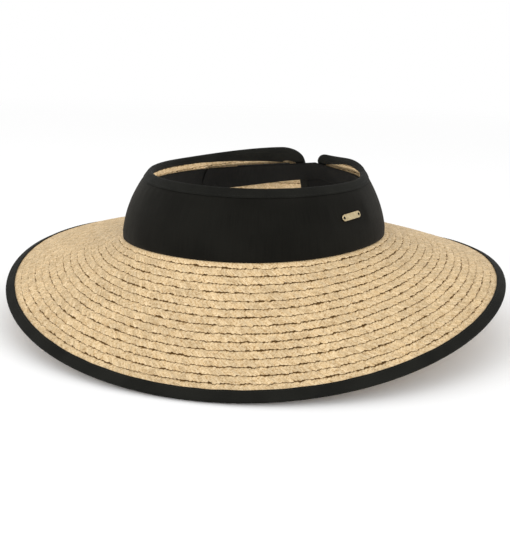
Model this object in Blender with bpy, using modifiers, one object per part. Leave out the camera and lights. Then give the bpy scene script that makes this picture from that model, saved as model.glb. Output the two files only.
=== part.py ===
"""Open-crown straw sun visor with a back slit and a hook-and-loop closure strap.

Metres, +Z up.  The origin is the centre of the head opening, in the plane where the crown wall
meets the brim; the soft crown's foot waves a few millimetres off that plane.  The face looks
towards -Y and the wearer's left is +X.  Angles are in degrees round the head: 0 at the front,
90 at +X, 180 at the back slit, 270 (or -90) at -X.

The visor is laid out on two surfaces.  A point of the crown wall is (angle, climb, outward):
climb is the distance up the wall from the brim, outward the distance off the band's outer face.
A point of the brim is (angle, reach, lift): reach is the distance out along the straw from the
crown, lift the distance above the straw's upper face.
"""

from math import cos, hypot, pi, radians, sin, sqrt

import bmesh
import bpy
from mathutils import Matrix, Vector

# --- driving dimensions -------------------------------------------------------------------
HEAD_HALF_WIDTH = 0.0925      # outer face of the headband at the brim, along X
HEAD_HALF_LENGTH = 0.0985     # the same, along Y

WALL_FRONT = 0.0478           # climb of the crown wall at the front and sides
WALL_BACK = 0.0609            # and at the back
WALL_RADIUS = 0.0727          # the wall bends inwards on this radius
WALL_START_LEAN = 5.6         # degrees off upright at the brim
SHOULDER = 0.0039             # the wall stands out this much more behind the left ear
SHOULDER_ANGLE = 125.0
SHOULDER_POWER = 6
SHOULDER_CLIMB = 0.050
LEFT_WING_DROP = 0.0057       # the wearer's left wing ends lower at the slit
LEFT_WING_DROP_START = 135.0  # degrees
LEFT_WING_DROP_END = 165.0

FOOT_DIP = 0.0017             # how far the wall's foot lies below the origin's plane
RIGHT_DIP = 0.0045            # it dips further on the wearer's right
RIGHT_DIP_ANGLE = -72.0
RIGHT_DIP_POWER = 6
LEFT_RISE = 0.0022            # and rises on the left
LEFT_RISE_ANGLE = 92.0
LEFT_RISE_POWER = 8
DIP_CLIMB = 0.045             # the dip fades out up to here

BRIM_WIDTH = 0.0910
BRIM_SLOPE = 26.7             # mean fall of the brim, degrees below level
BRIM_DROOP = 11.1             # extra fall on the drooping side
BRIM_SADDLE = 8.1             # extra fall there and opposite
BRIM_TWIST = 0.7              # the same, an eighth of a turn further round
BRIM_TRIPLE = -0.6            # extra fall in three places
BRIM_DROOP_ANGLE = 19.4       # where the brim droops most
BRIM_CURL = 5.8               # there, steeper at the crown and flatter at the edge by this much
BRIM_SADDLE_CURL = 4.7        # the same there and opposite, and the other way at the sides

GAP_ANGLE = 5.0               # half of the back slit
LEFT_WING_CORNER = 0.010      # rounded upper corners of the two wings
RIGHT_WING_CORNER = 0.016
BRIM_CORNER = 0.020           # rounded corners of the brim at the slit

# --- layers -------------------------------------------------------------------------------
GAP = 0.0003                  # left between touching pieces
BINDING_GAP = 0.0004          # left under the binding, which bends round tight corners
STRAW = 0.0017                # thickness of a plait
HEADBAND = 0.0010
SWEATBAND = 0.0012
TAPE = 0.0008                 # binding tape
HOOK_AND_LOOP = 0.0007
STRAP = 0.0012
UNDERLAP = 0.0006

HEADBAND_LAYER = -HEADBAND / 2
STRAW_LAYER = -HEADBAND - GAP - STRAW / 2
LINING_FACE = -HEADBAND - GAP - STRAW - GAP
SWEATBAND_LAYER = LINING_FACE - SWEATBAND / 2
BINDING_IN_LAYER = LINING_FACE - TAPE / 2
BINDING_OUT_LAYER = BINDING_GAP + TAPE / 2
LOOP_LAYER = LINING_FACE - HOOK_AND_LOOP / 2
HOOK_LAYER = LOOP_LAYER - HOOK_AND_LOOP - GAP
STRAP_LAYER = HOOK_LAYER - HOOK_AND_LOOP / 2 - GAP - STRAP / 2
UNDERLAP_LAYER = LINING_FACE - TAPE - GAP - UNDERLAP / 2

# --- rows, bands and bindings -------------------------------------------------------------
CROWN_ROWS = 9
BRIM_ROWS = 17
FIRST_ROW_END = 0.0023        # reach of the first brim row, which turns out from the wall
BINDING_LEG = 0.0072          # visible width of the brim binding
ROW_PITCH = (BRIM_WIDTH - BINDING_LEG - FIRST_ROW_END) / (BRIM_ROWS - 2)
WALL_FOOT = 0.0004            # the wall's pieces start this far up
EDGE_INSET = 0.0017           # straw and band stop this far inside a bound edge
WIRE_INSET = 0.0036           # straw stops here at the outer edge, to clear the wire
WIRE_DEPTH = 0.0019
WIRE_RADIUS = 0.00075
WIRE_END_ANGLE = 156.0

CROWN_BINDING_OUT = 0.0073    # outer leg of the crown binding
CROWN_BINDING_IN = 0.0032     # inner leg at the front and sides
CROWN_BINDING_IN_EDGE = 0.044 # on the right wing the inner leg reaches down to this climb
CROWN_BINDING_SIDE = 0.007    # inner leg along the slit
LEFT_LEG_GROWTH = 0.0044      # on the left wing the inner leg grows by this much
LEFT_LEG_START = 150.0        # between these two angles
LEFT_LEG_END = 168.0
CROWN_BINDING_BEND = 0.0014   # the tape's folds are rounded by this much
BRIM_BINDING_BEND = 0.0013
SWEATBAND_TOP = 0.036
SWEATBAND_END = 130.5

# --- closure strap ------------------------------------------------------------------------
STRAP_HINGE_ANGLE = 175.0
STRAP_HALF_WIDTH = 0.0105
STRAP_START_CLIMB = 0.0385    # middle of the strap at its hinge
STRAP_END_CLIMB = 0.0279      # and at its free end
STRAP_END_ANGLE = 247.0
STRAP_END_ROUNDING = 7.5      # degrees taken off the lower corner of its free end
STRAP_TAPER = 0.0033          # its lower edge rises this much towards the slit
STRAP_TAPER_START = 190.0     # between these angles
STRAP_TAPER_END = 229.0
ROOT_START_ANGLE = 126.0      # the sewn end of the strap
ROOT_START_CLIMB = 0.0343
ROOT_RISE_POWER = 5           # the root runs level, then turns up to the hinge
HINGE_GAP = 0.0017            # left between the root and the free part
STRAP_LINES = 7               # lines along the strap
TAPE_START_ANGLE = 195.0      # the hook and loop pieces
TAPE_END_ANGLE = 227.0
TAPE_SIDE_INSET = 0.001
UNDERLAP_START_ANGLE = 160.0  # the tab that closes the crown's slit under the strap
UNDERLAP_END_ANGLE = 184.3
UNDERLAP_FOOT = 0.002
UNDERLAP_TOP = 0.030
UNDERLAP_BAYS = 10

# --- name plate ---------------------------------------------------------------------------
PLATE_ANGLE = 79.8
PLATE_CLIMB = 0.0234
PLATE_LENGTH = 0.0193
PLATE_HEIGHT = 0.0045
PLATE_THICKNESS = 0.0008
PLATE_TILT = 2.6
PLATE_STAND_OFF = 0.00035     # the flat plate touches a curved band in its middle only
PLATE_HOLE_RADIUS = 0.0010
PLATE_HOLE_INSET = 0.0019
THREAD_RADIUS = 0.00025
THREAD_ROUNDING = 0.0004      # the thread turns over the plate's face on this radius

# --- stations -----------------------------------------------------------------------------
STATION = 12                  # degrees between the columns that all pieces share
LAST_STATION = 156
END_BAYS = 4                  # columns between the last shared one and a piece's own end
CORNER_TURNS = (0, 18, 36, 54, 72, 90)  # degrees turned at the stations of a round corner
WING_STATIONS = 6             # stations up the straight part of a wing's edge
SLIT_STATIONS = 5             # and out along the straight part of the brim's slit


# --- the crown wall and the brim as surfaces ----------------------------------------------
def oval(angle):
    """Point of the head oval and its outward normal, in plan."""
    s = sin(radians(angle))
    c = cos(radians(angle))
    point = Vector((HEAD_HALF_WIDTH * s, -HEAD_HALF_LENGTH * c, 0))
    normal = Vector((s / HEAD_HALF_WIDTH, -c / HEAD_HALF_LENGTH, 0)).normalized()
    return point, normal


def arc_per_degree(angle, outward):
    """Length round the head for one degree, at a distance off the head oval."""
    c = cos(radians(angle))
    s = sin(radians(angle))
    return (hypot(HEAD_HALF_WIDTH * c, HEAD_HALF_LENGTH * s) + outward) * pi / 180


def bump(degrees_off, power):
    """1 at its middle and 0 half a turn away."""
    return ((1 + cos(radians(degrees_off))) / 2) ** power


def foot_dip(angle):
    """How far the wall's foot lies below the origin's plane."""
    right = RIGHT_DIP * bump(angle - RIGHT_DIP_ANGLE, RIGHT_DIP_POWER)
    left = LEFT_RISE * bump(angle - LEFT_RISE_ANGLE, LEFT_RISE_POWER)
    return FOOT_DIP + right - left


def wall_lean(climb):
    start = radians(WALL_START_LEAN)
    return WALL_RADIUS * (cos(start) - cos(start + climb / WALL_RADIUS))


def wall(angle, climb, outward):
    """Point of the crown wall."""
    point, normal = oval(angle)
    start = radians(WALL_START_LEAN)
    tilt = start + climb / WALL_RADIUS
    shoulder = SHOULDER * bump(angle - SHOULDER_ANGLE, SHOULDER_POWER)
    across = outward * cos(tilt) - wall_lean(climb) + shoulder * (climb / SHOULDER_CLIMB) ** 3
    height = WALL_RADIUS * (sin(tilt) - sin(start)) + outward * sin(tilt)
    height -= foot_dip(angle) * max(0.0, 1 - climb / DIP_CLIMB)
    return point + normal * across + Vector((0, 0, height))


def wall_top(angle):
    """Climb of the wall's upper edge."""
    back = max(0.0, -cos(radians(angle)))
    top = WALL_FRONT + (WALL_BACK - WALL_FRONT) * back ** 2
    side = (angle + 180) % 360 - 180
    share = (side - LEFT_WING_DROP_START) / (LEFT_WING_DROP_END - LEFT_WING_DROP_START)
    share = min(1.0, max(0.0, share))
    return top - LEFT_WING_DROP * share * share * (3 - 2 * share)


def brim_slope(angle, reach):
    turn = radians(angle - BRIM_DROOP_ANGLE)
    slope = BRIM_SLOPE + BRIM_DROOP * cos(turn) + BRIM_SADDLE * cos(2 * turn)
    slope += BRIM_TWIST * sin(2 * turn) + BRIM_TRIPLE * cos(3 * turn)
    curl = BRIM_CURL * cos(turn) + BRIM_SADDLE_CURL * cos(2 * turn)
    return radians(slope + curl * (1 - 2 * reach / BRIM_WIDTH))


def brim_profile(angle, reach):
    """Distance out and down after going out along the straw; the slope changes evenly."""
    steps = 12
    out = 0.0
    down = 0.0
    for step in range(steps):
        slope = brim_slope(angle, reach * (step + 0.5) / steps)
        out += reach / steps * cos(slope)
        down += reach / steps * sin(slope)
    return out, down


def brim(angle, reach, lift):
    """Point of the brim."""
    point, normal = oval(angle)
    out, down = brim_profile(angle, reach)
    slope = brim_slope(angle, reach)
    out += lift * sin(slope)
    down += foot_dip(angle) * (1 - reach / BRIM_WIDTH)
    return point + normal * out + Vector((0, 0, lift * cos(slope) - down))


# --- where the pieces end at the slit -----------------------------------------------------
def corner_setback(distance_in, radius, inset):
    """How far a round corner holds a line back from the slit's edge."""
    if distance_in >= radius:
        return inset
    rise = radius - distance_in
    return radius - sqrt(max(0.0, (radius - inset) ** 2 - rise ** 2))


def wing_corner(side):
    return LEFT_WING_CORNER if side > 0 else RIGHT_WING_CORNER


def climb_at(angle, share):
    """Climb at a share of the wall's height, from its foot to just inside the bound edge."""
    return WALL_FOOT + (wall_top(angle) - EDGE_INSET - WALL_FOOT) * share


def wing_end(side, share):
    """Angle at which a line of the wall ends; side is 1 on the wearer's left, -1 on the right."""
    edge = 180 - GAP_ANGLE
    climb = climb_at(side * edge, share)
    below_top = wall_top(side * edge) - climb
    setback = corner_setback(below_top, wing_corner(side), EDGE_INSET)
    return side * (edge - setback / arc_per_degree(edge, -wall_lean(climb)))


def brim_end(side, reach):
    """Angle at which a line of the brim ends."""
    edge = 180 - GAP_ANGLE
    setback = corner_setback(BRIM_WIDTH - reach, BRIM_CORNER, EDGE_INSET)
    out, _ = brim_profile(side * edge, reach)
    return side * (edge - setback / arc_per_degree(edge, out))


def shared_angles(low, high):
    """The shared columns that lie between two angles."""
    first = int(low // STATION) + 1
    angles = [STATION * n for n in range(first, int(high // STATION) + 2)]
    return [angle for angle in angles if low + 1 < angle < high - 1]


def columns(low, high, shared, bays=END_BAYS):
    """Angles of one line: its own low end, the shared columns, its own high end."""
    lead = [low + (shared[0] - low) * n / bays for n in range(bays)]
    tail = [high + (shared[-1] - high) * n / bays for n in range(bays)]
    return lead + shared + tail[::-1]


RING = [STATION * n for n in range(-LAST_STATION // STATION, LAST_STATION // STATION + 1)]


def ring_between(low, high):
    """The shared columns, with more of them out to the ends of the two corner arcs."""
    return columns(low, high, RING)[1:-1]


def wall_line(share, shift, outward):
    """One line along the wall, at a share of its height and shifted up it a little."""
    angles = columns(wing_end(-1, share), wing_end(1, share), RING)
    return [wall(angle, climb_at(angle, share) + shift, outward) for angle in angles]


def brim_columns(reach):
    return columns(brim_end(-1, reach), brim_end(1, reach), RING)


# --- objects ------------------------------------------------------------------------------
def new_collection(name):
    collection = bpy.data.collections.new(name)
    bpy.context.scene.collection.children.link(collection)
    return collection


def new_material(name, colour, roughness, metallic=0.0):
    material = bpy.data.materials.new(name)
    material.use_nodes = True
    shader = material.node_tree.nodes["Principled BSDF"]
    shader.inputs["Base Color"].default_value = (*colour, 1)
    shader.inputs["Roughness"].default_value = roughness
    shader.inputs["Metallic"].default_value = metallic
    material.diffuse_color = (*colour, 1)
    return material


def add_object(name, data, material, collection):
    item = bpy.data.objects.new(name, data)
    data.materials.append(material)
    collection.objects.link(item)
    return item


def add_sheet(name, grid, thickness, material, collection):
    """A sheet of cloth or straw: a grid of points, thickened evenly to both sides."""
    shape = bmesh.new()
    rows = [[shape.verts.new(point) for point in line] for line in grid]
    for low, high in zip(rows, rows[1:]):
        for n in range(len(low) - 1):
            shape.faces.new((low[n], low[n + 1], high[n + 1], high[n]))
    bmesh.ops.recalc_face_normals(shape, faces=shape.faces)
    mesh = bpy.data.meshes.new(name)
    shape.to_mesh(mesh)
    shape.free()
    sheet = add_object(name, mesh, material, collection)
    solidify = sheet.modifiers.new("thickness", "SOLIDIFY")
    solidify.thickness = thickness
    solidify.offset = 0
    solidify.use_even_offset = True
    return sheet


def add_tube(name, points, radius, material, collection):
    curve = bpy.data.curves.new(name, "CURVE")
    curve.dimensions = "3D"
    curve.bevel_depth = radius
    curve.bevel_resolution = 1
    curve.use_fill_caps = True
    spline = curve.splines.new("POLY")
    spline.points.add(len(points) - 1)
    for target, point in zip(spline.points, points):
        target.co = (*point, 1)
    return add_object(name, curve, material, collection)


# --- straw plait --------------------------------------------------------------------------
def add_crown_rows(material, collection):
    """Rows of sewn plait that make the crown wall, from the brim up."""
    for row in range(CROWN_ROWS):
        lower = wall_line(row / CROWN_ROWS, GAP / 2, STRAW_LAYER)
        upper = wall_line((row + 1) / CROWN_ROWS, -GAP / 2, STRAW_LAYER)
        add_sheet(f"crown_plait_{row + 1:02d}", [lower, upper], STRAW, material, collection)


def first_row_point(angle, at_wall):
    """The first brim row turns from the foot of the wall out onto the brim."""
    if at_wall:
        return wall(angle, 0, STRAW_LAYER) - Vector((0, 0, STRAW / 2))
    return brim(angle, FIRST_ROW_END - 2 * GAP, -STRAW / 2)


def add_brim_rows(material, collection):
    """Rows of sewn plait that make the brim, from the crown out."""
    first = [
        [first_row_point(angle, at_wall) for angle in brim_columns(0)] for at_wall in (True, False)
    ]
    add_sheet("brim_plait_01", first, STRAW, material, collection)
    for row in range(2, BRIM_ROWS + 1):
        start = FIRST_ROW_END + (row - 2) * ROW_PITCH
        end = min(start + ROW_PITCH, BRIM_WIDTH - WIRE_INSET)
        grid = []
        for reach in (start + GAP / 2, end - GAP / 2):
            grid.append([brim(angle, reach, -STRAW / 2) for angle in brim_columns(reach)])
        add_sheet(f"brim_plait_{row:02d}", grid, STRAW, material, collection)


# --- bands --------------------------------------------------------------------------------
def add_headband(material, collection):
    """Outer cotton band, over the whole height of the crown wall."""
    grid = [wall_line(row / CROWN_ROWS, 0, HEADBAND_LAYER) for row in range(CROWN_ROWS + 1)]
    add_sheet("headband", grid, HEADBAND, material, collection)


def add_sweatband(material, collection):
    """Inner band against the forehead; it stops short of the slit on both sides."""
    bays = 4
    angles = columns(-SWEATBAND_END, SWEATBAND_END, shared_angles(-SWEATBAND_END, SWEATBAND_END), 1)
    grid = []
    for bay in range(bays + 1):
        climb = WALL_FOOT + (SWEATBAND_TOP - WALL_FOOT) * bay / bays
        grid.append([wall(angle, climb, SWEATBAND_LAYER) for angle in angles])
    add_sheet("sweatband", grid, SWEATBAND, material, collection)


# --- bindings -----------------------------------------------------------------------------
def wing_path(side):
    """Edge of one wing from the brim up: angle, climb, and how far the edge has turned."""
    edge = side * (180 - GAP_ANGLE)
    radius = wing_corner(side)
    corner_foot = wall_top(edge) - radius
    straight = corner_foot - WALL_FOOT
    path = [(edge, WALL_FOOT + straight * n / WING_STATIONS, 0.0) for n in range(WING_STATIONS)]
    for turn in CORNER_TURNS:
        setback = radius * (1 - cos(radians(turn)))
        climb = corner_foot + radius * sin(radians(turn))
        angle = edge - side * setback / arc_per_degree(edge, -wall_lean(climb))
        path.append((angle, wall_top(angle) - radius * (1 - sin(radians(turn))), turn))
    return path


def inner_leg(angle, down):
    """Depth of the crown binding's inner leg; down is 1 where the edge is level."""
    side = (angle + 180) % 360 - 180
    if side < 0:
        top_leg = max(wall_top(angle) - CROWN_BINDING_IN_EDGE, CROWN_BINDING_IN)
    else:
        share = (side - LEFT_LEG_START) / (LEFT_LEG_END - LEFT_LEG_START)
        top_leg = CROWN_BINDING_IN + LEFT_LEG_GROWTH * min(1.0, max(0.0, share))
    return CROWN_BINDING_SIDE + (top_leg - CROWN_BINDING_SIDE) * down ** 2


def add_crown_binding(material, collection):
    """Tape folded over the wall's edge: up one wing, round the top and down the other wing."""
    right = wing_path(-1)
    left = wing_path(1)[::-1]
    ring = ring_between(right[-1][0], left[0][0])
    top = [(angle, wall_top(angle), 90.0) for angle in ring]
    stations = [(-1, *point) for point in right]
    stations += [(0, *point) for point in top]
    stations += [(1, *point) for point in left]
    nose = TAPE / 2
    bend = CROWN_BINDING_BEND
    grid = [[] for _ in range(8)]
    for side, angle, climb, turn in stations:
        along = side * cos(radians(turn))
        down = sin(radians(turn))
        leg = inner_leg(angle, down)
        profile = (
            (CROWN_BINDING_OUT, BINDING_OUT_LAYER),
            ((CROWN_BINDING_OUT + bend) / 2, BINDING_OUT_LAYER),
            (bend, BINDING_OUT_LAYER),
            (nose, BINDING_OUT_LAYER - bend + nose),
            (nose, BINDING_IN_LAYER + bend - nose),
            (bend, BINDING_IN_LAYER),
            ((leg + bend) / 2, BINDING_IN_LAYER),
            (leg, BINDING_IN_LAYER),
        )
        for line, (depth, outward) in zip(grid, profile):
            arc = arc_per_degree(angle, -wall_lean(climb))
            line.append(wall(angle - along * depth / arc, climb - down * depth, outward))
    add_sheet("crown_binding", grid, TAPE, material, collection)


def brim_slit_path(side):
    """Edge of the brim from the crown out along the slit: angle, reach, turn of the edge."""
    edge = side * (180 - GAP_ANGLE)
    corner_start = BRIM_WIDTH - BRIM_CORNER
    start = FIRST_ROW_END + GAP
    straight = corner_start - start
    path = [(edge, start + straight * n / SLIT_STATIONS, 0.0) for n in range(SLIT_STATIONS)]
    for turn in CORNER_TURNS:
        setback = BRIM_CORNER * (1 - cos(radians(turn)))
        reach = corner_start + BRIM_CORNER * sin(radians(turn))
        out, _ = brim_profile(edge, reach)
        path.append((edge - side * setback / arc_per_degree(edge, out), reach, turn))
    return path


def add_brim_binding(material, collection):
    """Tape folded over the brim's edge, out along one side of the slit, round and back."""
    right = brim_slit_path(-1)
    left = brim_slit_path(1)[::-1]
    stations = [(-1, *point) for point in right]
    stations += [(0, angle, BRIM_WIDTH, 90.0) for angle in ring_between(right[-1][0], left[0][0])]
    stations += [(1, *point) for point in left]
    top = GAP + TAPE / 2
    bottom = -STRAW - GAP - TAPE / 2
    nose = TAPE / 2
    bend = BRIM_BINDING_BEND
    profile = (
        (BINDING_LEG, top),
        (bend, top),
        (nose, top - bend + nose),
        (nose, bottom + bend - nose),
        (bend, bottom),
        (BINDING_LEG, bottom),
    )
    grid = [[] for _ in profile]
    for side, angle, reach, turn in stations:
        out, _ = brim_profile(angle, reach)
        for line, (depth, lift) in zip(grid, profile):
            aside = side * cos(radians(turn)) * depth / arc_per_degree(angle, out)
            line.append(brim(angle - aside, reach - sin(radians(turn)) * depth, lift))
    add_sheet("brim_binding", grid, TAPE, material, collection)


def add_brim_wire(material, collection):
    """Boning in the fold of the brim binding, which lets the brim hold its shape."""
    angles = columns(-WIRE_END_ANGLE, WIRE_END_ANGLE, RING[1:-1], 1)
    points = [brim(angle, BRIM_WIDTH - WIRE_DEPTH, -STRAW / 2) for angle in angles]
    add_tube("brim_wire", points, WIRE_RADIUS, material, collection)


# --- closure strap ------------------------------------------------------------------------
def strap_middle(angle):
    """Climb of the strap's middle line: up along the root, then down to the free end."""
    if angle < STRAP_HINGE_ANGLE:
        share = (angle - ROOT_START_ANGLE) / (STRAP_HINGE_ANGLE - ROOT_START_ANGLE)
        return ROOT_START_CLIMB + (STRAP_START_CLIMB - ROOT_START_CLIMB) * share ** ROOT_RISE_POWER
    left = (STRAP_END_ANGLE - angle) / (STRAP_END_ANGLE - STRAP_HINGE_ANGLE)
    return STRAP_END_CLIMB + (STRAP_START_CLIMB - STRAP_END_CLIMB) * left ** 2


def strap_climb(angle, share, half_width):
    """Climb of a point of the strap; share runs from -1 at its lower edge to 1 at its upper."""
    left = (STRAP_TAPER_END - angle) / (STRAP_TAPER_END - STRAP_TAPER_START)
    left = min(max(left, 0.0), 1.0)
    rise = STRAP_TAPER * left * left * (3 - 2 * left) * max(-share, 0.0)
    return strap_middle(angle) + share * half_width + rise


def strap_grid(start, end, half_width, layer, bays, rounding=0.0):
    """Lines along the strap, from its lower edge up."""
    shared = shared_angles(start, end - rounding)
    grid = []
    for n in range(STRAP_LINES):
        share = 2 * n / (STRAP_LINES - 1) - 1
        cut = rounding * (1 - sqrt(1 - share ** 2)) if share < 0 else 0.0
        line = []
        for angle in columns(start, end - cut, shared, bays):
            line.append(wall(angle, strap_climb(angle, share, half_width), layer))
        grid.append(line)
    return grid


def add_underlap(material, collection):
    """Tab sewn inside the left wing; it closes the crown's slit below the strap."""
    step = (UNDERLAP_END_ANGLE - UNDERLAP_START_ANGLE) / UNDERLAP_BAYS
    angles = [UNDERLAP_START_ANGLE + step * n for n in range(UNDERLAP_BAYS + 1)]
    grid = []
    for n in range(STRAP_LINES):
        climb = UNDERLAP_FOOT + (UNDERLAP_TOP - UNDERLAP_FOOT) * n / (STRAP_LINES - 1)
        grid.append([wall(angle, climb, UNDERLAP_LAYER) for angle in angles])
    add_sheet("slit_underlap", grid, UNDERLAP, material, collection)


def add_strap(materials, collection):
    """The strap, its sewn root, its hook piece, and the loop piece on the other wing."""
    arc = arc_per_degree(STRAP_HINGE_ANGLE, -wall_lean(STRAP_START_CLIMB) + STRAP_LAYER)
    half_gap = HINGE_GAP / 2 / arc
    root = strap_grid(
        ROOT_START_ANGLE, STRAP_HINGE_ANGLE - half_gap, STRAP_HALF_WIDTH, STRAP_LAYER, 3
    )
    add_sheet("strap_root", root, STRAP, materials["webbing"], collection)
    free = strap_grid(
        STRAP_HINGE_ANGLE + half_gap, STRAP_END_ANGLE, STRAP_HALF_WIDTH, STRAP_LAYER, 3,
        STRAP_END_ROUNDING
    )
    strap = add_sheet("closure_strap", free, STRAP, materials["webbing"], collection)

    half_width = STRAP_HALF_WIDTH - TAPE_SIDE_INSET
    hook = strap_grid(TAPE_START_ANGLE, TAPE_END_ANGLE, half_width, HOOK_LAYER, 1)
    hook_tape = add_sheet("strap_hook_tape", hook, HOOK_AND_LOOP, materials["hook"], collection)
    loop = strap_grid(TAPE_START_ANGLE, TAPE_END_ANGLE, half_width, LOOP_LAYER, 1)
    add_sheet("wing_loop_tape", loop, HOOK_AND_LOOP, materials["loop"], collection)

    hinge = bpy.data.objects.new("strap_hinge", None)
    collection.objects.link(hinge)
    hinge.location = wall(STRAP_HINGE_ANGLE, STRAP_START_CLIMB, STRAP_LAYER)
    for piece in (strap, hook_tape):
        piece.parent = hinge
        piece.matrix_parent_inverse = Matrix.Translation(-hinge.location)


# --- name plate ---------------------------------------------------------------------------
def plate_frame():
    """Where the plate lies: X along it, Y up the wall, Z out of the band."""
    step = 0.0001
    centre = wall(PLATE_ANGLE, PLATE_CLIMB, PLATE_STAND_OFF + PLATE_THICKNESS / 2)
    up = (wall(PLATE_ANGLE, PLATE_CLIMB + step, 0) - wall(PLATE_ANGLE, PLATE_CLIMB, 0)).normalized()
    outward = (wall(PLATE_ANGLE, PLATE_CLIMB, step) - wall(PLATE_ANGLE, PLATE_CLIMB, 0)).normalized()
    along = up.cross(outward).normalized()
    upright = Matrix((along, up, along.cross(up))).transposed().to_4x4()
    return Matrix.Translation(centre) @ upright @ Matrix.Rotation(radians(PLATE_TILT), 4, "Z")


def add_loop(curve, points):
    spline = curve.splines.new("POLY")
    spline.points.add(len(points) - 1)
    for target, (x, y) in zip(spline.points, points):
        target.co = (x, y, 0, 1)
    spline.use_cyclic_u = True


def circle_points(x, radius, start, end, count):
    step = (end - start) / count
    turns = [radians(start + step * n) for n in range(count + 1)]
    return [(x + radius * cos(turn), radius * sin(turn)) for turn in turns]


def add_name_plate(materials, collection):
    """Blank metal tab with rounded ends, sewn on through two holes."""
    radius = PLATE_HEIGHT / 2
    centre = PLATE_LENGTH / 2 - radius
    hole = PLATE_LENGTH / 2 - PLATE_HOLE_INSET
    curve = bpy.data.curves.new("name_plate", "CURVE")
    curve.dimensions = "2D"
    curve.fill_mode = "BOTH"
    curve.extrude = PLATE_THICKNESS / 2
    outline = circle_points(centre, radius, -90, 90, 8) + circle_points(-centre, radius, 90, 270, 8)
    add_loop(curve, outline)
    for side in (-1, 1):
        add_loop(curve, circle_points(side * hole, PLATE_HOLE_RADIUS, 0, 324, 9))
    plate = add_object("name_plate", curve, materials["plate"], collection)
    plate.matrix_world = plate_frame()

    over = PLATE_THICKNESS / 2 + GAP + THREAD_RADIUS
    under = -PLATE_THICKNESS / 2
    past = PLATE_LENGTH / 2 + GAP + THREAD_RADIUS
    for side, name in ((-1, "plate_thread_front"), (1, "plate_thread_rear")):
        route = (
            (hole, under),
            (hole, over - THREAD_ROUNDING / 2),
            (hole + THREAD_ROUNDING, over),
            (past - THREAD_ROUNDING, over),
            (past, over - THREAD_ROUNDING / 2),
            (past, under),
        )
        points = [Vector((side * x, 0, z)) for x, z in route]
        thread = add_tube(name, points, THREAD_RADIUS, materials["thread"], collection)
        thread.matrix_world = plate_frame()


# --- the visor ----------------------------------------------------------------------------
def clear_scene():
    for item in list(bpy.data.objects):
        bpy.data.objects.remove(item, do_unlink=True)


def make_materials():
    return {
        "straw": new_material("straw", (0.72, 0.52, 0.30), 0.75),
        "cotton": new_material("black_cotton", (0.012, 0.011, 0.010), 0.9),
        "binding": new_material("black_binding", (0.010, 0.010, 0.009), 0.85),
        "lining": new_material("black_lining", (0.013, 0.013, 0.012), 0.9),
        "webbing": new_material("black_webbing", (0.015, 0.015, 0.014), 0.85),
        "hook": new_material("hook_tape", (0.020, 0.020, 0.020), 0.6),
        "loop": new_material("loop_tape", (0.016, 0.016, 0.016), 0.95),
        "wire": new_material("clear_boning", (0.75, 0.75, 0.72), 0.4),
        "plate": new_material("pale_gold", (0.72, 0.55, 0.33), 0.3, 1.0),
        "thread": new_material("black_thread", (0.010, 0.010, 0.010), 0.8),
    }


def build_visor():
    clear_scene()
    collection = new_collection("sun_visor")
    materials = make_materials()
    add_brim_rows(materials["straw"], collection)
    add_crown_rows(materials["straw"], collection)
    add_headband(materials["cotton"], collection)
    add_sweatband(materials["lining"], collection)
    add_crown_binding(materials["binding"], collection)
    add_brim_binding(materials["binding"], collection)
    add_brim_wire(materials["wire"], collection)
    add_underlap(materials["lining"], collection)
    add_strap(materials, collection)
    add_name_plate(materials, collection)


build_visor()
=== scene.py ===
"""Straw sun visor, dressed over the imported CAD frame: plaited rows, bands, bindings and plate.

Metres, +Z up, face towards -Y, wearer's left +X.  Angles are degrees round the head: 0 at the
front, 90 at +X, 180 at the back slit.  A point of the crown wall is (angle, climb, outward) and a
point of the brim is (angle, reach, lift), as in part.py, whose sizes are repeated here.
"""

import math

import bmesh
import bpy
import numpy as np
from mathutils import Matrix, Vector


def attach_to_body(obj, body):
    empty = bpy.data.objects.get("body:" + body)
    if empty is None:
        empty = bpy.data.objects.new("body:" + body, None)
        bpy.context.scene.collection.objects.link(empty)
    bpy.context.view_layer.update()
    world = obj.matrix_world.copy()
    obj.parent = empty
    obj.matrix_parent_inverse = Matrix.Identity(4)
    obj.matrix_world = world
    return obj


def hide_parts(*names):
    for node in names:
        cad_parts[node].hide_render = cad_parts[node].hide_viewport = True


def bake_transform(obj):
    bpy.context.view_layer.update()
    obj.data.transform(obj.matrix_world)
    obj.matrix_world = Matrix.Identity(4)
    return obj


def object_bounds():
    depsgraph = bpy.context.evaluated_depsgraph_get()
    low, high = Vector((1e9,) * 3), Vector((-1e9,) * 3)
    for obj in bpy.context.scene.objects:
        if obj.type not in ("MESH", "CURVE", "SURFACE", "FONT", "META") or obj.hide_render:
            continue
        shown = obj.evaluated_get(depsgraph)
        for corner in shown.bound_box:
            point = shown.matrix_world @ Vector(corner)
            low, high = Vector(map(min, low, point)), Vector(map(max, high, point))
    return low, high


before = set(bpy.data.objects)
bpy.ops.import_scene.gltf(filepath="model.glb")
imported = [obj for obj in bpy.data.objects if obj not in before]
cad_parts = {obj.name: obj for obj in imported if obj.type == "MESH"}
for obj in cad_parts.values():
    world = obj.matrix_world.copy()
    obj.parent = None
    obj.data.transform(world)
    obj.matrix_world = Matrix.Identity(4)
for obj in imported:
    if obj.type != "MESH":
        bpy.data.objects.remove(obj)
cad_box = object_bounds()
scene = bpy.context.scene

# --- sizes the CAD model sets ---
HEAD_HALF_WIDTH = 0.0925
HEAD_HALF_LENGTH = 0.0985
WALL_FRONT = 0.0478
WALL_BACK = 0.0609
WALL_RADIUS = 0.0727
WALL_START_LEAN = np.radians(5.6)
SHOULDER_CLIMB = 0.050
LEFT_WING_DROP = 0.0057
LEFT_WING_DROP_SPAN = (135.0, 165.0)
FOOT_DIP = 0.0017
DIP_CLIMB = 0.045
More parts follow.
